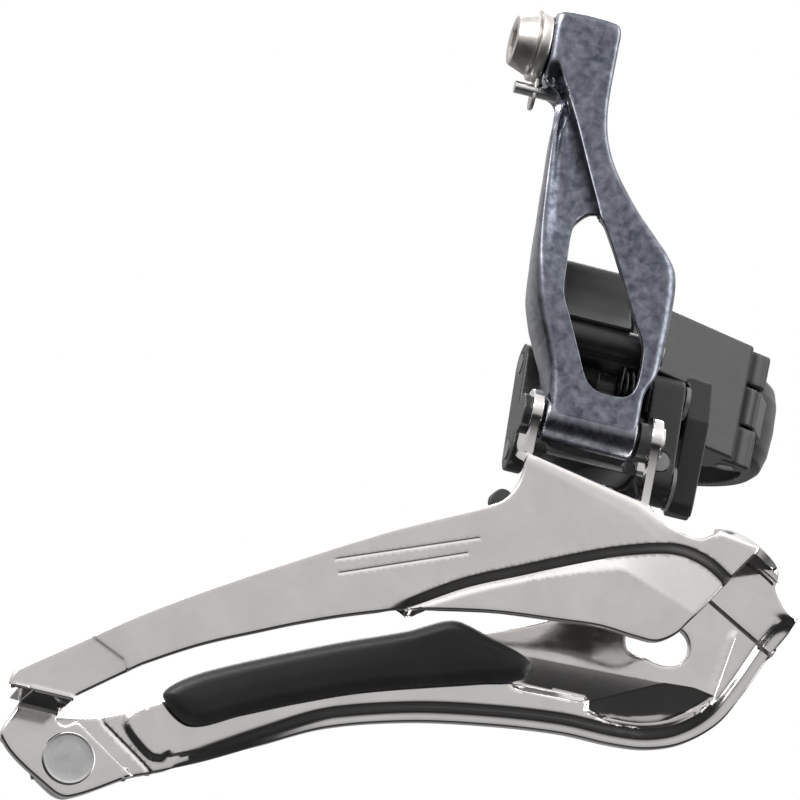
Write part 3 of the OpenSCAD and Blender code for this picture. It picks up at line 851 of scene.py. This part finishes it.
def strip(name, left, right, thick, bulge, mats, cols=14):
    """A bent strip between two lines in space, given by their front side."""
    one, two = through(left), through(right)
    share = np.linspace(0, 1, cols + 1)[None, :, None]
    front = one[:, None, :] * (1 - share) + two[:, None, :] * share
    inward = ease((one[:, 1].max() - one[:, 1]) / np.ptp(one[:, 1]))
    front[:, :, 2] += bulge * inward[:, None] * 4 * share[0, :, 0] * (1 - share[0, :, 0])
    normal = np.cross(np.gradient(front, axis=1), np.gradient(front, axis=0))
    normal /= np.maximum(np.linalg.norm(normal, axis=2), 1e-9)[:, :, None]
    if normal[len(one) // 2, cols // 2, 2] < 0:
        normal = -normal
    back = front - normal * thick
    both = np.concatenate([front.reshape(-1, 3), back.reshape(-1, 3)])
    place = np.column_stack([both[:, 0] - TUBE_U, -both[:, 1], both[:, 2]]) * MM
    piece = build(name, place, slab_faces(len(one), cols + 1), mats)
    bm = bmesh.new()
    bm.from_mesh(piece.data)
    bmesh.ops.recalc_face_normals(bm, faces=bm.faces)
    bm.to_mesh(piece.data)
    bm.free()
    return piece


def bridge():
    """The strip that joins the plates at the front, bent down onto the inner plate."""
    chrome = [MATS["cage_chrome"]]
    piece = strip("cage_front_bridge", BRIDGE_LEFT, BRIDGE_RIGHT, BRIDGE_THICK, BRIDGE_BULGE, chrome)
    fit_piece(piece, "cage", "cage_chrome")
    head = [(0.3, 1.0, False), (1.0, 1.5, False), (1.45, 1.5, False), (1.7, 1.35, False), (1.85, 0.8, False)]
    for name, cad_node in (("bridge_rivet_front_head", "bridge_rivet_front"),
                           ("bridge_rivet_rear_head", "bridge_rivet_rear")):
        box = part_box(cad_node)
        mid = (box[0] + box[1]) / 2 / MM
        rivet = lathe(name, head, (mid.x, -INNER_W, mid.z), (0, 1, 0), chrome, 32)
        fit_piece(rivet, "cage", "rivet_steel", cad_node)


# ---------- inner cage plate ----------
INNER_EDGE = [(-81.8, -67.2), (-76, -67.4), (-70, -66), (-61, -61.4), (-44, -52.6), (-27, -45),
              (-12, -38.4), (-5, -31.5), (1.6, -27.0), (4.8, -24.0), (8.1, -22.4), (13.5, -22.8),
              (16.8, -24.6), (17, -26.2), (16.8, -27.4), (17.5, -28.6), (19.1, -30.4), (20.7, -31),
              (19.9, -33), (18.1, -36.4), (15.5, -42.4), (12.8, -47.4), (8.5, -51.2), (3.8, -53.1),
              (-1.2, -53.7), (-8.3, -53.8), (-18.2, -55), (-29.1, -57.1), (-39.9, -60.5), (-47.7, -64.6),
              (-55.5, -69), (-62.3, -72.3), (-64.8, -73.4), (-72.7, -78.2), (-75.2, -77.9),
              (-83.2, -72.4)]
INNER_HARD = (0, 12, 17, 35)
FLANGE_ZONE = np.array([(24, -60), (24, -30), (15, -33.2), (12, -40), (0, -49.5), (-20, -51), (-40, -57.5),
                        (-59.5, -70.6), (-61, -76)])
SLOT = [(-1.9, -38.5), (-1.2, -40.6), (1.2, -41), (3.2, -41.4), (5.2, -41), (6.5, -39.8), (6.7, -38.2),
        (6, -36.8), (4.4, -36), (0, -36.6)]
CREASE_ONE = [(-16, -44.6), (-13.3, -44.5), (4.2, -43.8), (8.4, -43.5), (11.6, -44.0)]
CREASE_TWO = [(-9.0, -50.5), (-6.0, -49.0), (4.2, -43.8), (8.4, -43.5), (11.6, -44.0)]
FRONT_STEP = [(2.0, -28.2), (8.1, -31.6), (17.4, -36.5), (22, -38.6)]
RIDGE = [(12.6, -34.6), (10.9, -46.1)]
TAIL_CREASE = [(-70.9, -65.5), (-69.8, -67.2), (-63.4, -71.3), (-62.0, -72.4)]
LAND_END = [(-60.5, -59.5), (-66.4, -65.7), (-65.9, -66.9), (-62.6, -69.4), (-61.4, -69.3)]
LAND_FOOT = [(-20, -49.7), (-6.0, -49.0), (-6.0, -50.2), (-1.3, -51.4), (2.5, -51.6)]
FLANGE_WIDE = 1.25
FLANGE_RUN = 1.5
FLANGE_DROP = 0.8
LAND_DROP = 0.4
LAND_RUN = 1.2
FOOT_RUN = 0.9
TAB_HIGH = 0.9
STEP_RUN = 0.35
RIDGE_HIGH = 0.2
RIDGE_RISE = 1.2
RIDGE_FALL = 0.4
CREASE_DEEP = 0.12
CREASE_HALF = 0.4
FOLD_ONE_SLOPE = 0.145
FOLD_ONE_CURVE = 0.008
FOLD_TWO_SLOPE = 0.3
FOLD_LEFT = -17
FOLD_TOP = -42
FOOT_END = 2.5
TAIL_START = -77
TAIL_END = -55
EDGE_ROWS = (0.08, 0.18, 0.3, 0.75, 1.25, 1.6, 2.0, 2.4, 2.75, 3.1, 3.45, 3.8)


def fold_drop(q, d):
    """The two folds that fall toward the plate's lower corner, d being the distance to the edge."""
    one = np.maximum(-side_distance(CREASE_ONE, q), 0)
    two = np.maximum(-side_distance(CREASE_TWO, q), 0)
    fall = FOLD_ONE_SLOPE * one + FOLD_ONE_CURVE * one ** 2 + FOLD_TWO_SLOPE * two
    fall *= fade(q[:, 0], FOLD_LEFT, 3) * (q[:, 1] < FOLD_TOP) * fade(d, FLANGE_WIDE + FLANGE_RUN, 1)
    return fall * np.where(q[:, 0] < FOOT_END, fade(side_distance(LAND_FOOT, q), 0, FOOT_RUN), 1)


def front_rise(q):
    """The raised tab at the front and the pressed ridge below it."""
    tab = TAB_HIGH * fade(side_distance(FRONT_STEP, q), 0, STEP_RUN) * (q[:, 0] > 1)
    gap = side_distance(RIDGE, q)
    across = fade(gap, -RIDGE_RISE, RIDGE_RISE) * fade(gap, RIDGE_FALL, -RIDGE_FALL)
    along = fade(q[:, 1], -46.5, 2) * fade(q[:, 1], -34.2, -1.5)
    return tab, RIDGE_HIGH * across * along


def inner_height(q):
    """The inner plate's face: rolled flange, low tail, folds, front tab, ridge and tail crease."""
    d = np.abs(side_distance(curve(INNER_EDGE, INNER_HARD, 0.5), q, True))
    zone = fade(side_distance(FLANGE_ZONE, q, True), -1.5, 3)
    flange = FLANGE_DROP * fade(d, FLANGE_WIDE + FLANGE_RUN, -FLANGE_RUN) * zone
    land = side_distance(curve(LAND_END, (), 0.4, False), q) * (q[:, 0] > TAIL_START)
    land = LAND_DROP * fade(land, 0, -LAND_RUN) * (q[:, 0] < TAIL_END)
    tab, ridge = front_rise(q)
    h = INNER_W - np.maximum(flange, land) - fold_drop(q, d) + tab + ridge
    crease = 1 - ease(np.abs(side_distance(TAIL_CREASE, q)) / CREASE_HALF)
    return h - CREASE_DEEP * crease * (q[:, 0] > TAIL_START)


def inner_plate():
    outline = curve(INNER_EDGE, INNER_HARD, 0.5)
    holes = [curve(SLOT, step=0.35), circle(-73.9, -73.2, 2.0, 32)]
    lines = beside(curve(CREASE_ONE, (1, 2, 3), 0.4, False), (-0.15, 0, 0.15))
    lines += beside(curve(CREASE_TWO[:3], (1, 2), 0.4, False), (-0.15, 0, 0.15))
    lines += beside(curve(FRONT_STEP, (), 0.4, False), (0, 0.12, 0.24, STEP_RUN))
    lines += beside(curve(RIDGE, (), 0.4, False), (-RIDGE_RISE, -0.6, 0, 0.2, RIDGE_FALL))
    lines += beside(curve(TAIL_CREASE, (1, 2), 0.4, False), (-CREASE_HALF, -0.2, 0, 0.2, CREASE_HALF))
    lines += beside(curve(LAND_END, (), 0.4, False), (-LAND_RUN, -0.9, -0.6, -0.3, 0))
    lines += beside(curve(LAND_FOOT, (1, 2, 3), 0.35, False), (0, 0.3, 0.6, FOOT_RUN))
    plate = sheet("cage_inner_sheet", outline, inner_height, SHEET_THICK, outboard, [MATS["cage_chrome"]],
                  holes, lines, spacing=0.42, rim=0.3, rows=EDGE_ROWS)
    fit_piece(plate, "cage", "cage_chrome", "inner_cage_plate")


# ---------- skid pad ----------
PAD_EDGE = [(-63, -61.8), (-61.4, -59.4), (-56.3, -56.2), (-41.7, -49.3), (-32, -45.2), (-29.3, -43.7),
            (-26.9, -42.5), (-25.1, -42.3), (-19.9, -43.6), (-15.4, -44.9), (-14.2, -46.1), (-15.1, -48.2),
            (-20.5, -49.9), (-35.7, -54.7), (-44.4, -58.3), (-51.4, -61.6), (-58.5, -64.8)]
PAD_HIGH = 2.45
PAD_ROUND = 1.5


def skid_pad():
    """A crowned plastic pad with a rolled edge."""
    edge = curve(PAD_EDGE, (), 0.5)

    def height(q):
        d = np.abs(side_distance(edge, q, True))
        return INNER_W + PAD_HIGH - round_over(d, PAD_ROUND) * 1.1 - 0.25 * (1 - ease(d / 4))

    pad = sheet("cage_skid_pad", edge, height, 0.75, outboard, [MATS["pad_plastic"]], spacing=0.5, rim=0.12,
                rows=(0.06, 0.18, 0.4, 0.7, 1.0, 1.4, 1.9))
    fit_piece(pad, "cage", "pad_plastic", "skid_pad")


# ---------- outer link ----------
ARM_EDGE = [(-8, 0), (-8, 1.8), (-7.9, 5.9), (-6.8, 8.7), (-6.1, 13.4), (-6, 19), (-6.2, 22.7),
            (-6.9, 24.7), (-10.6, 28.6), (-13.4, 31.4), (-17.1, 36.1), (-18.7, 39.2), (-19.5, 42),
            (-19.9, 45.6), (-19.9, 53.3), (-20.0, 56), (-21.0, 57), (-28.4, 56.9), (-29.5, 55.9),
            (-29.4, 46.4), (-26.5, 44.6), (-26.9, 39), (-26.8, 33), (-26.6, 27.9), (-26.2, 22),
            (-25.4, 17.1), (-24.2, 13.3), (-22.9, 10.1), (-21.7, 6.6), (-20.9, 1.4), (-20.9, 0)]
ARM_HARD = (0, 19, 30)
ARM_WINDOW = [(-21.7, 26.9), (-21.1, 28.2), (-20, 29.1), (-18.5, 28.8), (-16.6, 26), (-14.4, 21.9),
              (-11.3, 15.7), (-9.8, 13), (-9.4, 11.4), (-9.4, 7.2), (-10, 5.4), (-11.3, 4.6), (-14.6, 4.6),
              (-16.4, 5.8), (-18.3, 9.8), (-20.2, 14), (-21.6, 17.2), (-21.8, 21)]
ARM_DEPTH = [(0, -3), (5, -3.4), (9.6, -4.7), (12.9, -5.1), (17, -4.7), (21, -2.6), (27, -1.2), (34, -0.6),
             (40, -0.8), (44, -3.2), (48, -4.9), (52, -6.4), (57.2, -6.6)]
ARM_RIDGE = [(-27.6, 49), (-27.2, 47.7), (-24.0, 41.2), (-21.0, 34.5), (-18.6, 29.2), (-17.6, 26)]
ARM_FACE = 3.0
ARM_WALL = 0.12
ARM_THICK = 1.15
ARM_CREST = 0.16
CREST_HALF = 0.35
CHANNEL_DEEP = 1.7


def arm_height(q):
    """The channel and the ridge on the arm's face, and flanges that follow ARM_DEPTH outside its edge."""
    edge = curve(ARM_EDGE, ARM_HARD, 0.5)
    sides = edge[edge[:, 1] > 0.01]
    below = [0, -4]
    sides = np.concatenate([sides[:1] * [1, 0] + below, sides, sides[-1:] * [1, 0] + below])
    d = np.abs(side_distance(sides, q))
    u, v = q.T
    ridge = side_distance(ARM_RIDGE, q)
    left = np.maximum(-ridge, 0)
    share = left / np.maximum(left + d, 1e-6)
    channel = CHANNEL_DEEP * 4 * share * (1 - share) * fade(v, 17, 12) * fade(v, 49.5, -3)
    crest = ARM_CREST * (1 - ease(np.abs(ridge) / CREST_HALF)) * fade(v, 27, 3) * fade(v, 48, -3)
    bevel = 1 + fade(u, -12, 4) * fade(v, 8, 6) * fade(v, 27, -4)
    corner = ARM_FACE - channel + crest - round_over(d - ARM_WALL, bevel)
    foot = np.interp(v, *np.array(ARM_DEPTH).T)
    lip = np.clip(d / ARM_WALL, 0, 1)
    return np.where(d < ARM_WALL, foot + (corner - foot) * lip, corner)


def arm():
    ridge = curve(ARM_RIDGE, (), 0.4, False)
    link = sheet("outer_link_arm", curve(ARM_EDGE, ARM_HARD, 0.5), arm_height, ARM_THICK, leaning,
                 [MATS["arm_steel"], MATS["cut_edge"]], [curve(ARM_WINDOW, step=0.4)],
                 beside(ridge, (-CREST_HALF, -0.17, 0, 0.17, CREST_HALF)), spacing=0.5, rim=0.18,
                 rows=(0.06, 0.12, 0.2, 0.32, 0.5, 0.8, 1.2, 1.6, 2.05))
    fit_piece(link, "arm", "arm_steel", "outer_link")


def arm_foot():
    """The roll around the cage axle and the bosses on the link's own pivot."""
    end = ((0, 2.3), (0.1, 2.7), (0.35, 2.95), (0.6, 3.0))
    roll = [(-21.1 + inset, r, False) for inset, r in end]
    roll += [(-8.0 - inset, r, False) for inset, r in end[::-1]]
    barrel = lathe("outer_link_roll", roll, (-TUBE_U, -C_W, C_V), (1, 0, 0), [MATS["arm_steel"]])
    fit_piece(barrel, "arm", "arm_steel")
    for name, u0, u1 in (("outer_link_boss_left", -22.3, -20.9), ("outer_link_boss_right", -8.3, -5.95)):
        rows = [(u0, 2.1, False), (u0 + 0.15, 2.45, False), (u0 + 0.4, 2.55, False), (u1 - 0.4, 2.55, False),
                (u1 - 0.15, 2.45, False), (u1, 2.1, False)]
        boss = lathe(name, rows, (-TUBE_U, -A_W, A_V), (1, 0, 0), [MATS["arm_steel"]])
        fit_piece(boss, "arm", "arm_steel")


def link_axle():
    """The outer link's pivot pin, flush with the flanges."""
    rows = [(-22.9, 1.1, False), (-22.8, 1.4, False), (-22.6, AXLE_R, False), (-6.1, AXLE_R, False),
            (-5.95, 1.4, False), (-5.9, 1.1, False)]
    pin = lathe("outer_link_pin", rows, (-TUBE_U, -A_W, A_V), (1, 0, 0), [MATS["pin_steel"]], 40)
    fit_piece(pin, "arm", "pin_steel", "outer_link_axle")


# ---------- small pieces ----------
def cable_bolt(mid):
    """Hexagonal socket, domed face, flared head and shank."""
    u0 = low_mm("cable_bolt").x
    rows = [(2.0, 0.4, True), (2.0, 1.9, True), (0.25, 2.05, True), (0.05, 2.3, False), (0, 3.0, False),
            (0.08, 3.4, False), (0.3, 3.55, False), (2.25, 4.24, False), (2.4, 4.34, False),
            (2.6, 4.38, False), (2.74, 4.25, False), (2.78, 3.9, False), (2.98, 3.9, False),
            (3.0, 2.1, False), (9.5, 2.1, False), (10.4, 1.6, False)]
    bolt = lathe("cable_anchor_bolt", rows, (u0, mid.y, mid.z), (1, 0, 0), [MATS["bolt_steel"]])
    fit_piece(bolt, "cable_screw", "bolt_steel", "cable_bolt")


def cable_washer(mid):
    """The disc under the bolt's head, and its tongue."""
    u1 = low_mm("cable_washer").x
    steel = [MATS["bolt_steel"]]
    rows = [(0, 2.2, False), (0, 4.75, False), (0.1, 4.97, False), (0.25, 5.05, False), (1.25, 5.05, False),
            (1.4, 4.97, False), (1.5, 4.75, False), (1.5, 2.2, False)]
    washer = lathe("cable_anchor_washer", rows, (u1, mid.y, mid.z), (1, 0, 0), steel, closed=False)
    fit_piece(washer, "arm", "bolt_steel", "cable_washer")
    piece = sheet("cable_washer_tab", tab_outline(mid), flat(0), 0.5, crosswise(u1 + 1.5 + TUBE_U), steel,
                  spacing=0.4, rim=0.1, rows=(0.05, 0.12))
    fit_piece(piece, "arm", "bolt_steel")


def cable_clamp():
    mid = sum(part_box("cable_bolt"), Vector()) / 2 / MM
    cable_bolt(mid)
    cable_washer(mid)


def tab_outline(mid):
    """The washer's tongue, from the disc down to the stop pin."""
    w = -mid.y
    low = low_mm("cable_washer").z
    top = mid.z - 3.6
    return curve([(w - 1.4, top), (w - 1.5, low + 1.6), (w - 0.9, low + 0.3), (w, low + 0.05),
                  (w + 0.9, low + 0.3), (w + 1.5, low + 1.6), (w + 1.4, top)], (0, 6), 0.3)


def tail_rivet():
    """A flat head on the outer side and a foot with its shank from the back."""
    mid = sum(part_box("tail_rivet"), Vector()) / 2 / MM
    near, far = low_mm("tail_rivet").y, high_mm("tail_rivet").y
    steel = [MATS["rivet_steel"]]
    rows = [(0.6, 3.1, False), (0.3, 3.5, False), (0.1, 3.58, False), (0.02, 3.5, False), (0.0, 3.38, False),
            (0.05, 3.22, False), (0.07, 3.1, False), (0.05, 2.0, False), (0.03, 0.6, False)]
    head = lathe("tail_rivet_head", rows, (mid.x, near + 0.04, mid.z), (0, 1, 0), steel)
    fit_piece(head, "cage", "rivet_steel")
    rows = [(0, 2.0, False), (0, 2.7, False), (0.2, 2.95, False), (0.6, 3.0, False), (0.7, 3.0, False),
            (0.7, 1.9, False), (4.1, 1.9, False)]
    tail = lathe("tail_rivet_foot", rows, (mid.x, far, mid.z), (0, -1, 0), steel)
    fit_piece(tail, "cage", "rivet_steel", "tail_rivet")


def spring():
    """A leg up, five turns around the inner link's pivot and a leg down."""
    turns, steps, advance, r = 5, 40, 0.855, 2.35
    start = -9.65 - TUBE_U
    path = [(start, -B_W - r, B_V + 3.4 - 0.34 * k) for k in range(9)]
    for k in range(turns * steps + 1):
        angle = 2 * math.pi * k / steps
        path.append((start + advance * k / steps, -B_W - r * math.cos(angle), B_V - r * math.sin(angle)))
    end = path[-1]
    path += [(end[0] + 0.02 * k, end[1], end[2] - 0.4 * k) for k in range(1, 8)]
    coil = tube("return_spring_coil", path, 0.45, [MATS["spring_steel"]])
    fit_piece(coil, "bracket", "spring_steel", "return_spring")


COVER = [(34.4, 10.9), (35.9, 10.0), (37.1, 8.2), (38.8, 5.6), (40.8, 3.2), (42.6, 1.4), (40, 0), (36, 4),
         (34, 8)]


def bracket_cover():
    """The bracket's smooth back behind the arm's window."""
    piece = sheet("clamp_bracket_back", curve(COVER, (0, 5, 6), 0.3), flat(0), 9.7, crosswise(-10.9),
                  [MATS["bracket_paint"]], spacing=0.8, rim=0.4, rows=(0.1, 0.25, 0.4))
    fit_piece(piece, "bracket", "bracket_paint")


def castings():
    """The cast and tumbled pieces, taken from the CAD with softer edges."""
    for cad_node, name, body, voxel, passes, slot in (
            ("clamp_bracket", "clamp_bracket_casting", "bracket", 0.25, 7, "bracket_paint"),
            ("hinged_band", "clamp_band", "band", 0.2, 5, "band_paint"),
            ("inner_link", "inner_link_plate", "link", 0.2, 4, "link_paint"),
            ("cage_axle", "cage_axle_headed", "cage", 0.12, 2, "black_pin"),
            ("cage_bumper", "cage_bumper_stub", "cage", 0.12, 3, "bush_plastic")):
        piece = softened(cad_node, name, voxel, passes, [MATS[slot]])
        fit_piece(piece, body, slot, cad_node)


def carry_over():
    """CAD nodes that are shown as they are, with their slot's material."""
    for entry in frame["record"]["subparts"]:
        obj = frame["nodes"][entry["node"]]
        obj.data.materials.clear()
        obj.data.materials.append(MATS[entry["material_slot"]])


make_stage()
carry_over()
outer_plate()
yoke_ears()
bridge()
inner_plate()
skid_pad()
arm()
arm_foot()
cable_clamp()
tail_rivet()
link_axle()
spring()
bracket_cover()
castings()
